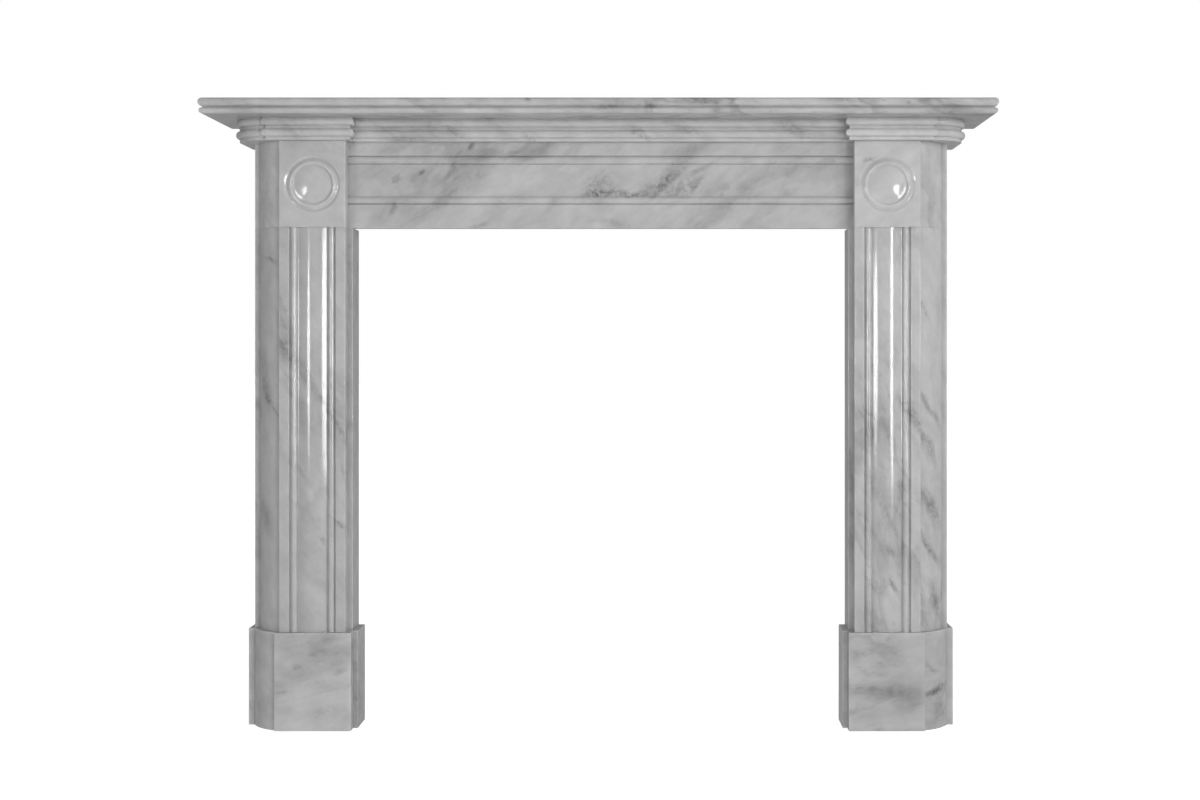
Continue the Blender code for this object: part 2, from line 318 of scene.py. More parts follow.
def reeded_slab(node):
    """The front slab of a jamb: a broad convex band between two beads, run from top to bottom."""
    low, high = stone_box(node)
    middle = (low.x + high.x) / 2
    face = low.y
    half_band = BAND_WIDTH / 2
    band_radius, band_turn = low_arc(half_band, BAND_RISE)
    bead_near = half_band + BAND_GROOVE
    bead_far = bead_near + BEAD_WIDTH
    fillet = bead_far + BEAD_GROOVE
    pen = Pen(node + "_stone", (low.x, high.y, low.z))
    pen.line(low.x, face, low.z)
    pen.line(middle - fillet, face, low.z)
    pen.line(middle - fillet, face + BEAD_RISE, low.z)
    bead_middle = (bead_near + bead_far) / 2
    crown = Vector((middle - bead_middle, face, low.z))
    draw_bead(pen, (middle - bead_far, face + BEAD_RISE, low.z), crown, UP, BEAD_WIDTH)
    pen.line(middle - bead_near, face + BAND_RISE, low.z)
    pen.line(middle - half_band, face + BAND_RISE, low.z)
    centre = (middle, face + band_radius, low.z)
    pen.arc(centre, band_turn, UP, BAND_STEPS)
    pen.line(middle + bead_near, face + BAND_RISE, low.z)
    crown = Vector((middle + bead_middle, face, low.z))
    draw_bead(pen, (middle + bead_near, face + BEAD_RISE, low.z), crown, UP, BEAD_WIDTH)
    pen.line(middle + fillet, face + BEAD_RISE, low.z)
    pen.line(middle + fillet, face, low.z)
    pen.line(high.x, face, low.z)
    pen.line(high.x, high.y, low.z)
    pen.fill()
    draw_out((0, 0, high.z - low.z))
    round_uprights(pen.piece)
    return ease_arrises(pen.piece)


def frieze(node):
    """The frieze slab: a bead above and below a sunk panel, run from end to end.

    Narrow grooves run along both sides of the upper bead and under the lower one.
    """
    low, high = stone_box(node)
    face = low.y
    end = low.x
    half = FRIEZE_BEAD_WIDTH / 2
    upper = low.z + FRIEZE_UPPER_BEAD
    lower = low.z + FRIEZE_LOWER_BEAD
    pen = Pen(node + "_stone", (end, high.y, low.z))
    pen.line(end, high.y, high.z)
    pen.line(end, face, high.z)
    pen.line(end, face, upper + half + FRIEZE_GROOVE)
    pen.line(end, face + FRIEZE_GROOVE_DEPTH, upper + half + FRIEZE_GROOVE / 2)
    crown = Vector((end, face, upper))
    draw_bead(pen, (end, face + BEAD_RISE, upper + half), crown, ALONG, FRIEZE_BEAD_WIDTH)
    pen.line(end, face + PANEL_DEPTH + FRIEZE_GROOVE, upper - half)
    pen.line(end, face + PANEL_DEPTH, upper - half - FRIEZE_GROOVE)
    pen.line(end, face + PANEL_DEPTH, lower + half + FRIEZE_GROOVE)
    crown = Vector((end, face, lower))
    draw_bead(pen, (end, face + BEAD_RISE, lower + half), crown, ALONG, FRIEZE_BEAD_WIDTH)
    pen.line(end, face + BEAD_RISE, lower - half - FRIEZE_GROOVE)
    pen.line(end, face, lower - half - FRIEZE_GROOVE)
    pen.line(end, face, low.z)
    pen.fill()
    draw_out((high.x - low.x, 0, 0))
    return ease_arrises(pen.piece)


def half_round(height, projection, steps):
    """A half round as (rise above its foot, projection), without its first point."""
    return [
        (
            height / 2 * (1 - math.cos(math.pi * i / steps)),
            projection * math.sin(math.pi * i / steps),
        )
        for i in range(1, steps + 1)
    ]


def bed_profile():
    """The moulding under the shelf as (height above its foot, projection), without the foot.

    The top roll turns back only to TOP_ROLL_END of its projection, and goes straight up from there.
    """
    profile = []
    foot = 0.0
    for _ in range(2):
        foot += FILLET_HEIGHT
        profile.append((foot, 0.0))
        roll = half_round(ROLL_HEIGHT, ROLL_PROJECTION, ROLL_STEPS)
        profile += [(foot + rise, projection) for rise, projection in roll]
        foot += ROLL_HEIGHT
    while profile[-1][1] < TOP_ROLL_END * ROLL_PROJECTION:
        profile.pop()
    profile.append((foot, profile[-1][1]))
    return profile


def shelf_profile():
    """The edge of the shelf as (height above its soffit, projection), without the soffit."""
    profile = half_round(SHELF_LOWER_ROLL, SHELF_LOWER_PROJECTION, ROLL_STEPS)
    foot = SHELF_LOWER_ROLL + SHELF_FILLET
    profile.append((foot, 0.0))
    roll = half_round(SHELF_UPPER_ROLL, SHELF_UPPER_PROJECTION, ROLL_STEPS)
    return profile + [(foot + rise, projection) for rise, projection in roll]


def moulded_slab(node, profile, greatest, ends):
    """A slab built up level by level, each level drawn up and spread to its projection.

    The node's box is as large as the greatest projection makes it. The ends either stand out
    with the front, or are cut back to meet a neighbour that stands out.
    """
    low, high = stone_box(node)
    half = (high.x - low.x) / 2 - max(ends * greatest, 0.0)
    depth = high.y - low.y - greatest
    pivot = Vector(((low.x + high.x) / 2, high.y, low.z))
    foot = pivot - Vector((0, depth / 2, 0))
    bpy.ops.mesh.primitive_plane_add(size=1, location=foot)
    piece = bpy.context.active_object
    piece.name = node + "_stone"
    piece.scale = (2 * half, depth, 1)
    bpy.ops.object.transform_apply(location=True, rotation=True, scale=True)
    edit()
    bpy.ops.mesh.select_all(action="SELECT")
    last_height = 0.0
    last_projection = 0.0
    scale = (high.z - low.z) / profile[-1][0]
    for height, projection in profile:
        draw_out((0, 0, (height - last_height) * scale))
        across = (half + ends * projection) / (half + ends * last_projection)
        forward = (depth + projection) / (depth + last_projection)
        spread((across, forward, 1), pivot)
        last_height = height
        last_projection = projection
    return ease_arrises(piece)


def capital_front(node):
    return moulded_slab(node, bed_profile(), ROLL_PROJECTION, ENDS_STAND_OUT)


def bed_mould(node):
    return moulded_slab(node, bed_profile(), ROLL_PROJECTION, ENDS_CUT_BACK)


def shelf(node):
    return moulded_slab(node, shelf_profile(), SHELF_UPPER_PROJECTION, ENDS_STAND_OUT)


def capital_corner(node):
    """The quadrant at a capital's outer corner, and its return to the wall, built up by levels."""
    low, high = stone_box(node)
    side = side_of(node)
    start = low.x if side > 0 else -high.x
    outermost = high.x if side > 0 else -low.x
    middle = start - JOINT + ROLL_PROJECTION
    radius = outermost - ROLL_PROJECTION - middle
    centre = Vector((side * middle, low.y + ROLL_PROJECTION + radius, low.z))
    wall = high.y
    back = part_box(node.replace("capital_corner", "jamb_front"))[0].y + CAPITAL_BACK
    return_low, return_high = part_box(node.replace("capital_corner", "block_outer_return"))
    inside = return_low.x if side > 0 else -return_high.x
    lead_in = CORNER_LEAD / radius
    first = centre + radius * Vector((side * math.sin(lead_in), -math.cos(lead_in), 0))
    pen = Pen(node + "_stone", (side * start, back, low.z))
    pen.line(side * start, centre.y - radius, low.z)
    pen.line(*first)
    pen.arc(centre, side * (math.pi / 2 - lead_in), UP, QUARTER_STEPS)
    pen.line(side * (middle + radius), wall, low.z)
    pen.line(side * inside, wall, low.z)
    pen.line(side * inside, back, low.z)
    pen.fill()
    piece = pen.piece
    last_height = 0.0
    last = 0.0
    profile = bed_profile()
    scale = (high.z - low.z) / profile[-1][0]
    for height, projection in profile:
        level = low.z + height * scale
        grow = projection - last
        draw_out((0, 0, (height - last_height) * scale))
        hub = Vector((centre.x, centre.y, level))
        arc_reach = radius + last
        start_line = start + last
        lead_line = middle + CORNER_LEAD / 2

        def on_arc(co):
            reached = (co - hub).length < arc_reach + SAME_PLACE
            return reached and side * co.x > lead_line and co.y < hub.y + SAME_PLACE

        pick_at(piece, level, on_arc)
        share = (arc_reach + grow) / arc_reach
        spread((share, share, 1), hub)
        pick_at(piece, level, lambda co: side * co.x < lead_line and co.y < hub.y)
        shift((0, -grow, 0))
        pick_at(piece, level, lambda co: abs(side * co.x - start_line) < SAME_PLACE)
        shift((side * grow, 0, 0))
        pick_at(piece, level, lambda co: co.y > wall - SAME_PLACE and side * co.x > middle)
        shift((side * grow, 0, 0))
        pick(piece, "FACE", lambda face: all(abs(v.co.z - level) < SAME_PLACE for v in face.verts))
        last_height = height
        last = projection
    return ease_arrises(piece)


def roundel_profile():
    """The roundel as (radius, rise above the face), from just inside its rim to its dome."""
    profile = [(ROUNDEL_RADIUS - ROUNDEL_LIP, 0.0)]
    slopes = (
        (OUTER_GROOVE_RADIUS, -OUTER_GROOVE_DEPTH, RING_CREST_RADIUS, RING_RISE),
        (RING_CREST_RADIUS, RING_RISE, INNER_GROOVE_RADIUS, -INNER_GROOVE_DEPTH),
    )
    profile.append((OUTER_GROOVE_RADIUS, -OUTER_GROOVE_DEPTH))
    for first_radius, first_rise, last_radius, last_rise in slopes:
        for i in range(1, RING_STEPS + 1):
            radius = first_radius + (last_radius - first_radius) * i / RING_STEPS
            share = (1 - math.cos(math.pi * i / RING_STEPS)) / 2
            profile.append((radius, first_rise + (last_rise - first_rise) * share))
    for i in range(DOME_STEPS):
        share = 1 - i / DOME_STEPS
        rise = (DOME_RISE + DOME_EDGE_DEPTH) * (1 - share**2) - DOME_EDGE_DEPTH
        profile.append((DOME_RADIUS * share, rise))
    return profile


def pick_ring(piece, centre, radius):
    """Selects the edges of one ring of the roundel."""
    pick(
        piece,
        "EDGE",
        lambda part: all(abs((v.co - centre).length - radius) < SAME_PLACE for v in part.verts),
    )


def corner_block(node):
    """The front of a corner block, with its roundel turned in the face, ring by ring."""
    low, high = stone_box(node)
    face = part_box(node.replace("block", "jamb"))[0].y
    low.y = face
    piece = sawn_block(node, low, high)
    pick(piece, "FACE", lambda part: part.normal.y < TOWARDS_ROOM)
    bpy.ops.mesh.delete(type="ONLY_FACE")
    centre = Vector(((low.x + high.x) / 2, face, low.z + ROUNDEL_RISE_TO_CENTRE))
    bpy.ops.mesh.primitive_circle_add(
        vertices=ROUNDEL_STEPS, radius=ROUNDEL_RADIUS, location=centre, rotation=(math.pi / 2, 0, 0)
    )
    pick(piece, "EDGE", lambda part: all(abs(v.co.y - face) < SAME_PLACE for v in part.verts))
    bpy.ops.mesh.fill(use_beauty=True)
    pick_ring(piece, centre, ROUNDEL_RADIUS)
    last_radius = ROUNDEL_RADIUS
    last_rise = 0.0
    for radius, rise in roundel_profile():
        draw_out((0, last_rise - rise, 0))
        share = radius / last_radius
        spread((share, 1, share), centre)
        last_radius = radius
        last_rise = rise
    bpy.ops.mesh.merge(type="CENTER")
    shift((0, last_rise - DOME_RISE, 0))
    round_uprights(piece)
    return ease_arrises(piece)


MAKERS = {
    "plinth_front": plain_slab,
    "plinth_corner": rounded_corner,
    "plinth_outer_return": plain_slab,
    "plinth_inner_return": plain_slab,
    "jamb_front": reeded_slab,
    "jamb_corner": rounded_corner,
    "jamb_outer_return": plain_slab,
    "jamb_inner_return": plain_slab,
    "block_front": corner_block,
    "block_corner": rounded_corner,
    "block_outer_return": plain_slab,
    "capital_front": capital_front,
    "capital_corner": capital_corner,
}


# Marble

class Socket:
    """An output of a shader node, with arithmetic that adds Math nodes."""

    def __init__(self, recipe, output):
        self.recipe = recipe
        self.output = output

    def __add__(self, other):
        return self.recipe.math("ADD", self, other)

    def __mul__(self, other):
        return self.recipe.math("MULTIPLY", self, other)

    def __sub__(self, other):
        return self.recipe.math("SUBTRACT", self, other)

    def __rsub__(self, other):
        return self.recipe.math("SUBTRACT", other, self)

    __radd__ = __add__
    __rmul__ = __mul__

    def ramp(self, start, end):
        """0 at start and 1 at end, eased between them."""
        settings = {"interpolation_type": "SMOOTHSTEP"}
        if start < end:
            inputs = {"Value": self, "From Min": start, "From Max": end}
            return self.recipe.node("ShaderNodeMapRange", "Result", settings, inputs)
        inputs = {"Value": self, "From Min": end, "From Max": start, "To Min": 1.0, "To Max": 0.0}
        return self.recipe.node("ShaderNodeMapRange", "Result", settings, inputs)


class Recipe:
    """The shader nodes of a material or of the studio's light, under construction."""

    def __init__(self, tree):
        self.nodes = tree.nodes
        self.links = tree.links

    def feed(self, socket, value):
        if isinstance(value, Socket):
            self.links.new(value.output, socket)
        else:
            socket.default_value = value

    def node(self, kind, output, settings, inputs):
        made = self.nodes.new(kind)
        for name, value in settings.items():
            setattr(made, name, value)
        for name, value in inputs.items():
            self.feed(made.inputs[name], value)
        return Socket(self, made.outputs[output])

    def math(self, operation, *values):
        return self.node("ShaderNodeMath", 0, {"operation": operation}, dict(enumerate(values)))

    def vector(self, operation, first, second):
        inputs = {0: first, 1: second}
        return self.node("ShaderNodeVectorMath", "Vector", {"operation": operation}, inputs)

    def scaled(self, vector, share):
        inputs = {0: vector, "Scale": share}
        return self.node("ShaderNodeVectorMath", "Vector", {"operation": "SCALE"}, inputs)

    def oval(self, place, centre, lean, size):
        """Coordinates about a centre, turned in the plane of the front and measured in its size."""
        inputs = {
            "Vector": place,
            "Location": centre,
            "Rotation": (0.0, -math.radians(lean), 0.0),
            "Scale": size,
        }
        return self.node("ShaderNodeMapping", "Vector", {"vector_type": "TEXTURE"}, inputs)

    def noise(self, place, figure, output="Fac"):
        inputs = {
            "Vector": place,
            "Scale": figure.scale,
            "Detail": figure.detail,
            "Roughness": figure.roughness,
        }
        return self.node("ShaderNodeTexNoise", output, {}, inputs)

    def layer(self, place, figure):
        """The stretch of a noise that shows, from 0 to 1."""
        return self.noise(place, figure).ramp(figure.start, figure.end)


@dataclass
class Figure:
    """A noise in the stone: its scale, how finely it breaks up, and the stretch that shows."""

    scale: float
    detail: float
    roughness: float
    start: float = 0.0
    end: float = 1.0


@dataclass
class Mark:
    """A dark smudge that can be made out on the stone, as an oval on its face."""

    x: float
    z: float
    length: float
    width: float
    lean: float
    depth: float
    speckle: float = 0.65


@dataclass
class Cut:
    """How a stone was cut from the block: the lie of its veins, and how much of them it has."""

    lean: float
    start: tuple
    veins: float = 1.0
    clouds: float = 1.0
    # The stone's tone; on some stones it is painted light or painted shade, lighter or darker where
    # more or less light falls
    tone_and_painted_light: float = 1.0
    marks: tuple = ()


# The tone of the polished ground, and how much light goes into it
GROUND = 0.505
GRAIN_GROUND = 0.985
GRAIN_DEPTH = 0.03
POLISH = 0.09
GRAIN_POLISH = 0.04
SMOKE_POLISH = 0.04
WAVE_STRENGTH = 0.1
WAVE_HEIGHT = 0.0002
REFRACTION = 1.5
TRANSLUCENT_SHARE = 0.85
TRANSLUCENCE = 0.009

# The noises that the stone's pattern is made of
NOISE_MIDDLE = 0.5
VEIN_STRETCH = 2.4
SWAY = Figure(4.0, 2.0, 0.5)
SWAY_REACH = 0.14
FRAY = Figure(16.0, 4.0, 0.6)
FRAY_REACH = 0.05
PATCHES = Figure(4.0, 3.0, 0.5, 0.44, 0.62)
SMOKE = Figure(11.0, 6.0, 0.6, 0.44, 0.68)
CONTOURS = Figure(8.0, 4.0, 0.55)
VEIN_START = 0.480
VEIN_CREST = 0.508
VEIN_END = 0.60
BLOTS = Figure(40.0, 4.0, 0.6, 0.52, 0.70)
SPECKS = Figure(105.0, 2.0, 0.5, 0.60, 0.74)
DRAWN_MOTTLE = Figure(38.0, 5.0, 0.62)
TORN_MOTTLE = Figure(26.0, 5.0, 0.6)
SPECKLES = Figure(110.0, 4.0, 0.65, 0.40, 0.58)
GRAIN = Figure(420.0, 2.0, 0.6)
WAVES = Figure(26.0, 2.0, 0.5)

# How much each darkens the ground, everywhere and in the clouded patches
SMOKE_DARKNESS = 0.06
SMOKE_IN_PATCHES = 0.18
VEIN_DARKNESS = 0.04
VEIN_IN_PATCHES = 0.24
BLOT_DARKNESS = 0.22
SPECK_DARKNESS = 0.24
SPOTS_OUTSIDE_PATCHES = 0.12
MOTTLE_DARKNESS = 0.66

# A mark's reach into the stone, and where it fades out and is full, in its own half sizes
MARK_REACH = 0.09
MARK_RIM = 1.3
MARK_CORE = 0.1


def marble(node, cut):
    """Polished grey-white marble, clouded and veined along one direction."""
    material = bpy.data.materials.new(node + "_marble")
    material.use_nodes = True
    recipe = Recipe(material.node_tree)
    place = recipe.node("ShaderNodeTexCoord", "Object", {}, {})
    along = recipe.oval(place, cut.start, cut.lean, (VEIN_STRETCH, 1.0, 1.0))
    sway = recipe.noise(along, SWAY, "Color")
    bent = recipe.vector("ADD", along, recipe.scaled(sway, SWAY_REACH))
    frayed = recipe.vector("SUBTRACT", recipe.noise(along, FRAY, "Color"), [NOISE_MIDDLE] * 3)
    torn = recipe.vector("ADD", place, recipe.scaled(frayed, FRAY_REACH))

    patches = recipe.layer(bent, PATCHES)
    smoke = recipe.layer(bent, SMOKE)
    contour = recipe.noise(bent, CONTOURS)
    vein = contour.ramp(VEIN_START, VEIN_CREST) * contour.ramp(VEIN_END, VEIN_CREST)
    blot = recipe.layer(along, BLOTS)
    speck = recipe.layer(along, SPECKS)
    mottle = 0.5 * recipe.noise(along, DRAWN_MOTTLE) + 0.5 * recipe.noise(torn, TORN_MOTTLE)
    grain = recipe.noise(place, GRAIN)

    dark = smoke * (SMOKE_DARKNESS + SMOKE_IN_PATCHES * patches) * cut.clouds
    dark = dark + vein * (VEIN_DARKNESS + VEIN_IN_PATCHES * patches) * cut.veins
    spots = blot * BLOT_DARKNESS + speck * SPECK_DARKNESS
    spotted = SPOTS_OUTSIDE_PATCHES + (1 - SPOTS_OUTSIDE_PATCHES) * patches
    dark = dark + spots * spotted * cut.veins
    dark = dark + (mottle - NOISE_MIDDLE) * MOTTLE_DARKNESS
    dark = dark + marks_on(recipe, node, cut, torn)
    # The cut's tone factor is the stone's own tone, and on some stones painted light or painted
    # shade as well
    tone = (1 - dark) * (GRAIN_GROUND + GRAIN_DEPTH * grain) * (GROUND * cut.tone_and_painted_light)
    greys = {"Red": tone, "Green": tone, "Blue": tone}
    waves = {
        "Height": recipe.noise(place, WAVES),
        "Strength": WAVE_STRENGTH,
        "Distance": WAVE_HEIGHT,
    }
    polish = POLISH + GRAIN_POLISH * grain + SMOKE_POLISH * smoke
    shader = recipe.nodes["Principled BSDF"]
    colour = recipe.node("ShaderNodeCombineColor", "Color", {}, greys)
    recipe.feed(shader.inputs["Base Color"], colour)
    recipe.feed(shader.inputs["Roughness"], polish)
    recipe.feed(shader.inputs["Normal"], recipe.node("ShaderNodeBump", "Normal", {}, waves))
    shader.inputs["IOR"].default_value = REFRACTION
    shader.inputs["Subsurface Weight"].default_value = TRANSLUCENT_SHARE
    shader.inputs["Subsurface Radius"].default_value = (1.0, 1.0, 1.0)
    shader.inputs["Subsurface Scale"].default_value = TRANSLUCENCE
    return material


def marks_on(recipe, node, cut, torn):
    """The darkness of the marks that can be made out on a stone, with torn, speckled edges."""
    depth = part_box(node)[0].y + MARK_REACH / 4
    speckled = recipe.layer(torn, SPECKLES)
    dark = 0.0
    for mark in cut.marks:
        size = (mark.length / 2, MARK_REACH, mark.width / 2)
        inside = recipe.oval(torn, (mark.x, depth, mark.z), mark.lean, size)
        reach = recipe.node("ShaderNodeVectorMath", "Value", {"operation": "LENGTH"}, {0: inside})
        filled = 1 - mark.speckle + mark.speckle * speckled
        dark = dark + reach.ramp(MARK_RIM, MARK_CORE) * filled * mark.depth
    return dark


# The stones whose marks or tone can be made out, each with its own cut; on some of them the tone is
# painted light or painted shade
CUTS = {
    "frieze_panel": Cut(
        lean=34, start=(0.74, 0.2, 0.35), veins=0.4, clouds=0.7, tone_and_painted_light=0.935,
        marks=(
            Mark(-0.004, 1.043, 0.110, 0.062, 40, 0.34, 0.60),
            Mark(0.012, 1.032, 0.088, 0.017, 4, 0.40, 0.75),
            Mark(0.062, 1.029, 0.084, 0.015, 6, 0.52, 0.75),
            Mark(0.110, 1.049, 0.096, 0.029, 34, 0.32, 0.60),
            Mark(0.138, 1.064, 0.100, 0.015, 26, 0.30, 0.45),
            Mark(0.121, 1.043, 0.084, 0.013, 40, 0.34, 0.40),
            Mark(0.192, 1.076, 0.077, 0.015, 20, 0.28, 0.40),
            Mark(0.186, 1.051, 0.065, 0.012, 48, 0.28, 0.40),
            Mark(0.161, 1.045, 0.096, 0.042, 14, 0.32, 0.80),
            Mark(-0.127, 1.116, 0.120, 0.042, 18, 0.34, 0.10),
            Mark(-0.253, 1.072, 0.146, 0.058, 40, 0.14, 0.30),
            Mark(-0.249, 1.124, 0.023, 0.012, 55, 0.45, 0.20),
            Mark(-0.284, 1.089, 0.088, 0.010, 62, 0.20, 0.50),
            Mark(-0.345, 1.072, 0.017, 0.013, 20, 0.38, 0.20),
            Mark(-0.393, 1.064, 0.025, 0.012, 20, 0.34, 0.30),
            Mark(-0.409, 1.007, 0.035, 0.012, 70, 0.32, 0.40),
            Mark(0.173, 1.118, 0.115, 0.042, 10, 0.34, 0.10),
            Mark(0.154, 1.087, 0.084, 0.040, 30, 0.30, 0.35),
            Mark(0.302, 1.045, 0.088, 0.050, 55, 0.18, 0.30),
            Mark(0.021, 0.972, 0.108, 0.023, -6, 0.26, 0.60),
            Mark(-0.246, 0.974, 0.058, 0.017, 10, 0.28, 0.60),
            Mark(0.446, 1.095, 0.115, 0.031, 30, 0.12, 0.30),
            Mark(-0.326, 1.009, 0.096, 0.031, 30, 0.14, 0.40),
        ),
    ),
    "frieze_bed_mould": Cut(
        lean=-38, start=(1.3, 0.7, 0.4), tone_and_painted_light=0.97,
        marks=(
            Mark(-0.276, 1.154, 0.065, 0.023, -30, 0.30),
            Mark(-0.138, 1.141, 0.042, 0.015, -40, 0.26),
            Mark(0.077, 1.143, 0.081, 0.017, -38, 0.42),
            Mark(0.173, 1.153, 0.115, 0.023, -22, 0.24),
            Mark(0.375, 1.153, 0.088, 0.023, -30, 0.26),
            Mark(0.503, 1.156, 0.058, 0.023, -30, 0.22),
        ),
    ),
    "mantel_shelf": Cut(
        lean=-16, start=(2.1, 0.4, 0.9), clouds=1.3, tone_and_painted_light=0.91,
        marks=(
            Mark(-0.393, 1.210, 0.031, 0.012, -30, 0.30),
            Mark(-0.136, 1.202, 0.027, 0.015, -60, 0.42),
            Mark(-0.192, 1.208, 0.134, 0.015, -6, 0.20),
            Mark(0.094, 1.187, 0.027, 0.013, -20, 0.46),
            Mark(0.173, 1.204, 0.142, 0.017, -14, 0.32),
            Mark(0.023, 1.191, 0.115, 0.017, 12, 0.24),
            Mark(0.451, 1.202, 0.115, 0.019, -12, 0.24),
        ),
    ),
    "left_jamb_front": Cut(
        lean=-58, start=(0.6, 0.1, 0.3), veins=0.6, clouds=0.9, tone_and_painted_light=0.91,
        marks=(
            Mark(-0.576, 0.699, 0.192, 0.027, -57, 0.20, 0.40),
            Mark(-0.514, 0.596, 0.154, 0.017, -60, 0.28),
            Mark(-0.601, 0.719, 0.084, 0.031, -62, 0.15),
            Mark(-0.495, 0.394, 0.031, 0.013, -40, 0.48),
            Mark(-0.487, 0.465, 0.115, 0.013, -80, 0.26),
            Mark(-0.583, 0.500, 0.115, 0.015, -50, 0.18),
            Mark(-0.532, 0.358, 0.017, 0.012, -40, 0.30),
        ),
    ),
    "left_jamb_corner": Cut(
        lean=-66, start=(0.4, 0.5, 0.9), veins=0.4, clouds=0.7,
        marks=(
            Mark(-0.651, 0.665, 0.154, 0.027, -75, 0.26, 0.30),
            Mark(-0.637, 0.905, 0.042, 0.012, -15, 0.40),
            Mark(-0.649, 0.404, 0.115, 0.027, -70, 0.24, 0.30),
            Mark(-0.633, 0.625, 0.065, 0.012, -50, 0.34),
        ),
    ),
    "right_jamb_front": Cut(
        lean=-64, start=(1.2, 0.9, 0.4), veins=0.5, clouds=0.8, tone_and_painted_light=0.98,
        marks=(
            Mark(0.605, 0.596, 0.119, 0.023, -60, 0.40),
            Mark(0.563, 0.642, 0.077, 0.012, -68, 0.26),
            Mark(0.526, 0.703, 0.077, 0.015, -62, 0.22),
            Mark(0.522, 0.281, 0.084, 0.023, -55, 0.22),
            Mark(0.565, 0.277, 0.050, 0.015, -60, 0.40),
            Mark(0.547, 0.423, 0.173, 0.019, -66, 0.16),
        ),
    ),
    # Painted light: the right pier's rounded corner is brightened, as light from the right falls on
    # it
    "right_jamb_corner": Cut(
        lean=-62, start=(0.2, 1.8, 1.5), veins=0.6, clouds=0.7, tone_and_painted_light=1.06,
        marks=(
            Mark(0.624, 0.634, 0.142, 0.015, -60, 0.38, 0.40),
            Mark(0.626, 0.546, 0.115, 0.031, -58, 0.34, 0.55),
            Mark(0.632, 0.433, 0.154, 0.027, -58, 0.31, 0.50),
            Mark(0.638, 0.354, 0.096, 0.015, -60, 0.40, 0.40),
            Mark(0.611, 0.269, 0.084, 0.015, -60, 0.36, 0.40),
            Mark(0.649, 0.242, 0.115, 0.017, -68, 0.32, 0.40),
            Mark(0.618, 0.815, 0.088, 0.015, -66, 0.26),
        ),
    ),
    "left_plinth_front": Cut(
        lean=12, start=(1.1, 0.6, 0.7), veins=0.4, clouds=0.7, tone_and_painted_light=0.97,
        marks=(
            Mark(-0.578, 0.123, 0.027, 0.015, 0, 0.24),
            Mark(-0.543, 0.148, 0.023, 0.012, 0, 0.20),
            Mark(-0.489, 0.108, 0.031, 0.015, 20, 0.21),
            Mark(-0.607, 0.075, 0.031, 0.013, 0, 0.22),
            Mark(-0.528, 0.035, 0.115, 0.027, 12, 0.14),
        ),
    ),
    "right_plinth_front": Cut(
        lean=8, start=(0.4, 0.9, 0.1), veins=0.5, clouds=0.8, tone_and_painted_light=0.93,
        marks=(
            Mark(0.515, 0.079, 0.190, 0.040, 3, 0.30, 0.10),
            Mark(0.586, 0.071, 0.110, 0.073, 10, 0.28, 0.10),
            Mark(0.592, 0.058, 0.085, 0.050, 10, 0.12, 0.10),
            Mark(0.538, 0.031, 0.173, 0.038, 6, 0.14, 0.10),
            Mark(0.496, 0.150, 0.077, 0.017, 10, 0.20),
        ),
    ),
    "right_plinth_corner": Cut(
        lean=20, start=(0.8, 0.2, 0.6), veins=0.6, tone_and_painted_light=0.95,
        marks=(
            Mark(0.645, 0.074, 0.065, 0.023, 22, 0.50),
            Mark(0.634, 0.120, 0.058, 0.013, -30, 0.28),
        ),
    ),
    "left_block_front": Cut(
        lean=-40, start=(1.9, 0.2, 0.3), veins=0.25, clouds=0.5, tone_and_painted_light=0.965,
    ),
    # Painted shade: the inner returns of the left pier, in the reveal of the opening, are darkened
    "left_jamb_inner_return": Cut(
        lean=-62, start=(2.6, 0.3, 1.1), veins=0.5, clouds=0.5, tone_and_painted_light=0.87,
    ),
    "left_plinth_inner_return": Cut(
        lean=-20, start=(1.7, 1.3, 0.8), veins=0.4, clouds=0.5, tone_and_painted_light=0.84,
    ),
    # Painted light: the right block's rounded corner is brightened, as light from the right falls
    # on it
    "right_block_corner": Cut(
        lean=-60, start=(2.2, 0.1, 1.9), veins=0.4, clouds=0.5, tone_and_painted_light=1.06,
    ),
    "left_capital_front": Cut(
        lean=-50, start=(3.4, 1.1, 0.5), veins=0.4, clouds=0.5, tone_and_painted_light=0.96,
    ),
    # Painted shade: the set-back corner of the left capital is darkened, as it stands in shadow
    "left_capital_corner": Cut(
        lean=-50, start=(1.4, 2.1, 0.7), veins=0.5, clouds=0.6, tone_and_painted_light=0.90,
    ),
    "left_block_corner": Cut(
        lean=-50, start=(3.1, 0.6, 0.2), veins=0.4, clouds=0.5, tone_and_painted_light=1.10,
    ),
    "right_block_front": Cut(
        lean=30, start=(0.5, 1.2, 0.6), veins=0.3, clouds=0.5,
        marks=(
            Mark(0.522, 1.095, 0.038, 0.010, 20, 0.40),
            Mark(0.649, 1.037, 0.115, 0.019, -75, 0.26),
        ),
    ),
}

# The other stones of a pier, whose veins lie much alike in each course
PIER_LEAN = {"plinth": -20, "jamb": -62, "block": -50, "capital": -50}
PIER_VEINS = {"plinth": 0.7, "jamb": 1.0, "block": 0.5, "capital": 0.4}
RETURN_VEINS = 0.5
LEAN_SWING = 7
NEXT_CUT = (0.37, 0.53, 0.29)


def cut_of(node, number):
    """How a stone was cut, which differs a little from each stone to the next."""
    if node in CUTS:
        return CUTS[node]
    course = node.split("_")[1]
    lean = PIER_LEAN[course] + LEAN_SWING * math.sin(number)
    start = tuple(step * number for step in NEXT_CUT)
    amount = PIER_VEINS[course] * (RETURN_VEINS if "return" in node else 1)
    return Cut(lean=lean, start=start, veins=amount, clouds=amount)


def finish_stone(piece, node, number):
    """Polishes a stone and sets it in the frame in place of its solid."""
    piece.data.materials.append(marble(node, cut_of(node, number)))
    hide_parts(node)
    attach(piece, "root")


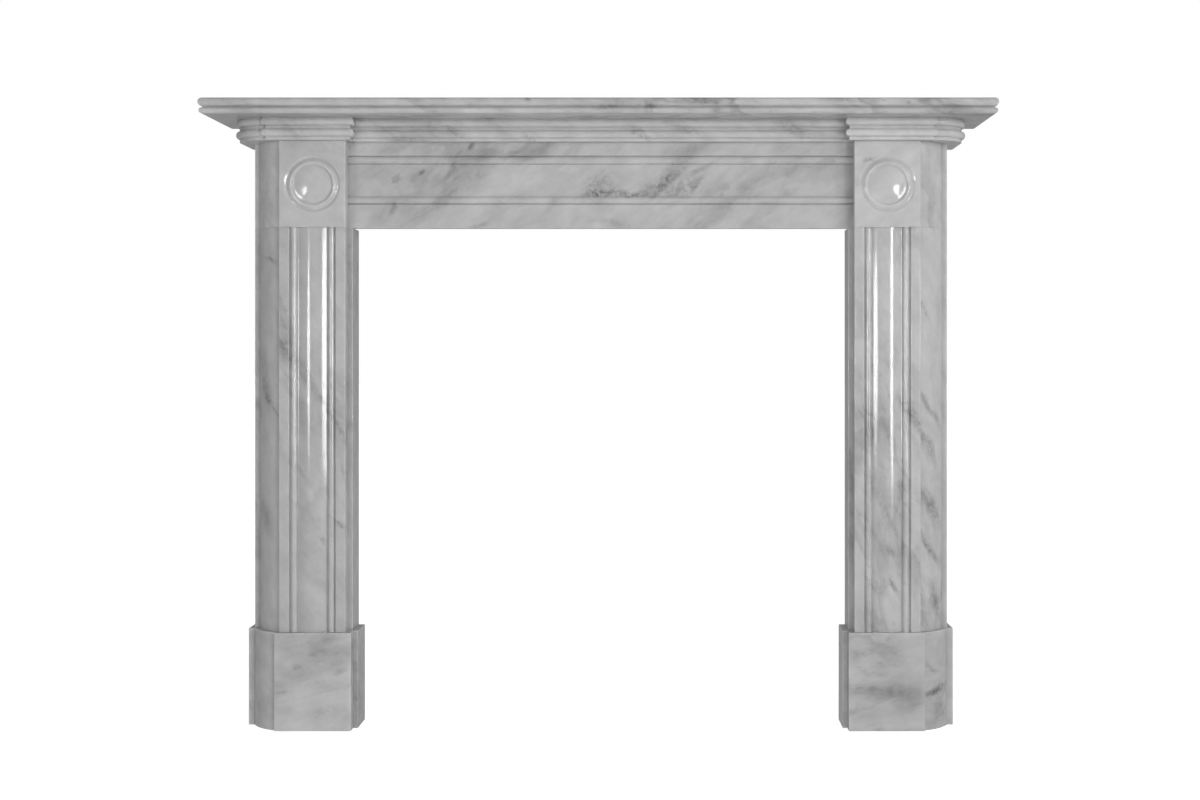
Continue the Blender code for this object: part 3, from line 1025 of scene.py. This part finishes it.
def build_stones():
    makers = {"frieze_panel": frieze, "frieze_bed_mould": bed_mould, "mantel_shelf": shelf}
    for side in ("left", "right"):
        makers.update({side + "_" + name: maker for name, maker in MAKERS.items()})
    for number, (node, maker) in enumerate(makers.items()):
        finish_stone(maker(node), node, number)


# Studio

# The photo's camera, and how far its picture is shifted
CAMERA_ACROSS = 0.125
CAMERA_HEIGHT = 0.734
CAMERA_DISTANCE = 3.2
PHOTO_WIDTH = 1200
LENS_MM = 50
SENSOR_MM = 36
VIEW_ACROSS_PX = 65
VIEW_UP_PX = 52

# Light from the room all round, and more of it from some sides
ROOM_LIGHT = 0.325
OVER_AND_UNDER_LIGHT = 0.38
FLOOR_LIGHT = 0.16
FRONT_LIGHT = 0.32
RIGHT_LIGHT = 0.12
WHITE = (1, 1, 1, 1)

# The fill light, and the place on the right pier that it is aimed at
FILL_LIGHT = 0.25
FILL_SIZE = 0.8
FILL_ACROSS = 2.2
FILL_DISTANCE = 1.6
FILL_HEIGHT = 1.5
FILL_AIM_ACROSS = 0.55
FILL_AIM_HEIGHT = 1.05

# The floor
FLOOR_SIZE = 60
FLOOR_DROP = 0.0005
FLOOR_GREY = (0.8, 0.8, 0.8, 1)
FLOOR_ROUGHNESS = 0.9
FLOOR_GLOW = 0.78

JAMB_FACE_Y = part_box("left_jamb_front")[0].y


@dataclass
class Softbox:
    """A softbox between two points of the floor, its face to the left of the way from near to far.

    Each point is its X and its distance in front of the jambs.
    """

    shape: str
    near: tuple
    far: tuple
    low: float
    high: float


SOFTBOX_RADIANCE = 16.0
SOFTBOXES = {
    "left_softbox": Softbox("ELLIPSE", near=(-1.64, 1.77), far=(-2.45, 4.78), low=0.33, high=1.13),
    "right_softbox": Softbox("RECTANGLE", near=(2.60, 6.00), far=(1.80, 2.20), low=0.22, high=1.30),
}


def add_camera():
    camera = bpy.data.objects.new("photo_camera", bpy.data.cameras.new("photo_camera"))
    camera.location = (CAMERA_ACROSS, JAMB_FACE_Y - CAMERA_DISTANCE, CAMERA_HEIGHT)
    camera.rotation_euler = (math.pi / 2, 0, 0)
    camera.data.lens = LENS_MM
    camera.data.sensor_width = SENSOR_MM
    camera.data.shift_x = -VIEW_ACROSS_PX / PHOTO_WIDTH
    camera.data.shift_y = -VIEW_UP_PX / PHOTO_WIDTH
    bpy.context.scene.collection.objects.link(camera)
    bpy.context.scene.camera = camera


def add_softbox(name, box):
    near = Vector((box.near[0], JAMB_FACE_Y - box.near[1], 0))
    far = Vector((box.far[0], JAMB_FACE_Y - box.far[1], 0))
    light = bpy.data.lights.new(name, "AREA")
    light.shape = box.shape
    light.size = (far - near).length
    light.size_y = box.high - box.low
    area = light.size * light.size_y * (math.pi / 4 if box.shape == "ELLIPSE" else 1)
    light.energy = SOFTBOX_RADIANCE * area * math.pi
    softbox = bpy.data.objects.new(name, light)
    softbox.location = (near + far) / 2 + UP * (box.low + box.high) / 2
    facing = UP.cross(far - near)
    softbox.rotation_euler = facing.to_track_quat("-Z", "Y").to_euler()
    softbox.visible_camera = False
    bpy.context.scene.collection.objects.link(softbox)


def add_fill():
    """A soft light high up on the right, which brightens the top of the right pier."""
    light = bpy.data.lights.new("fill_light", "AREA")
    light.shape = "DISK"
    light.size = FILL_SIZE
    fill = bpy.data.objects.new("fill_light", light)
    fill.location = (FILL_ACROSS, JAMB_FACE_Y - FILL_DISTANCE, FILL_HEIGHT)
    aim = Vector((FILL_AIM_ACROSS, JAMB_FACE_Y, FILL_AIM_HEIGHT)) - fill.location
    light.energy = FILL_LIGHT * 4 * math.pi * aim.length**2
    fill.rotation_euler = aim.to_track_quat("-Z", "Y").to_euler()
    fill.visible_camera = False
    fill.visible_glossy = False
    bpy.context.scene.collection.objects.link(fill)


def add_world():
    """White to the camera, with soft light from all round and more from some sides than others."""
    world = bpy.data.worlds.new("studio")
    bpy.context.scene.world = world
    world.use_nodes = True
    recipe = Recipe(world.node_tree)
    recipe.nodes.clear()
    direction = recipe.node("ShaderNodeTexCoord", "Generated", {}, {})
    across, to_wall, up = (
        recipe.node("ShaderNodeSeparateXYZ", axis, {}, {"Vector": direction}) for axis in "XYZ"
    )
    glow = ROOM_LIGHT - FLOOR_LIGHT * up + OVER_AND_UNDER_LIGHT * (up * up)
    for share, light in ((to_wall * -1.0, FRONT_LIGHT), (across, RIGHT_LIGHT)):
        facing = recipe.math("MAXIMUM", share, 0.0)
        glow = glow + facing * facing * light
    soft = recipe.node("ShaderNodeBackground", "Background", {}, {"Strength": glow})
    white = recipe.node("ShaderNodeBackground", "Background", {}, {"Color": WHITE})
    seen = recipe.node("ShaderNodeLightPath", "Is Camera Ray", {}, {})
    mix = recipe.node("ShaderNodeMixShader", "Shader", {}, {"Fac": seen, 1: soft, 2: white})
    output = recipe.nodes.new("ShaderNodeOutputWorld")
    recipe.feed(output.inputs["Surface"], mix)


def add_floor():
    """A plain pale floor, which stays white but for soft shadows where the plinths stand."""
    bpy.ops.mesh.primitive_plane_add(size=FLOOR_SIZE, location=(0, 0, cad_box[0].z - FLOOR_DROP))
    floor = bpy.context.active_object
    floor.name = "studio_floor"
    pale = bpy.data.materials.new("pale_floor")
    pale.use_nodes = True
    shader = pale.node_tree.nodes["Principled BSDF"]
    shader.inputs["Base Color"].default_value = FLOOR_GREY
    shader.inputs["Roughness"].default_value = FLOOR_ROUGHNESS
    shader.inputs["Emission Color"].default_value = WHITE
    shader.inputs["Emission Strength"].default_value = FLOOR_GLOW
    floor.data.materials.append(pale)
    floor.visible_diffuse = False
    floor.visible_glossy = False
    floor.visible_shadow = False
    bpy.ops.object.select_all(action="DESELECT")


def add_studio():
    add_floor()
    add_camera()
    add_world()
    add_fill()
    for name, box in SOFTBOXES.items():
        add_softbox(name, box)
    bpy.context.scene.view_settings.view_transform = "Standard"


build_stones()
add_studio()
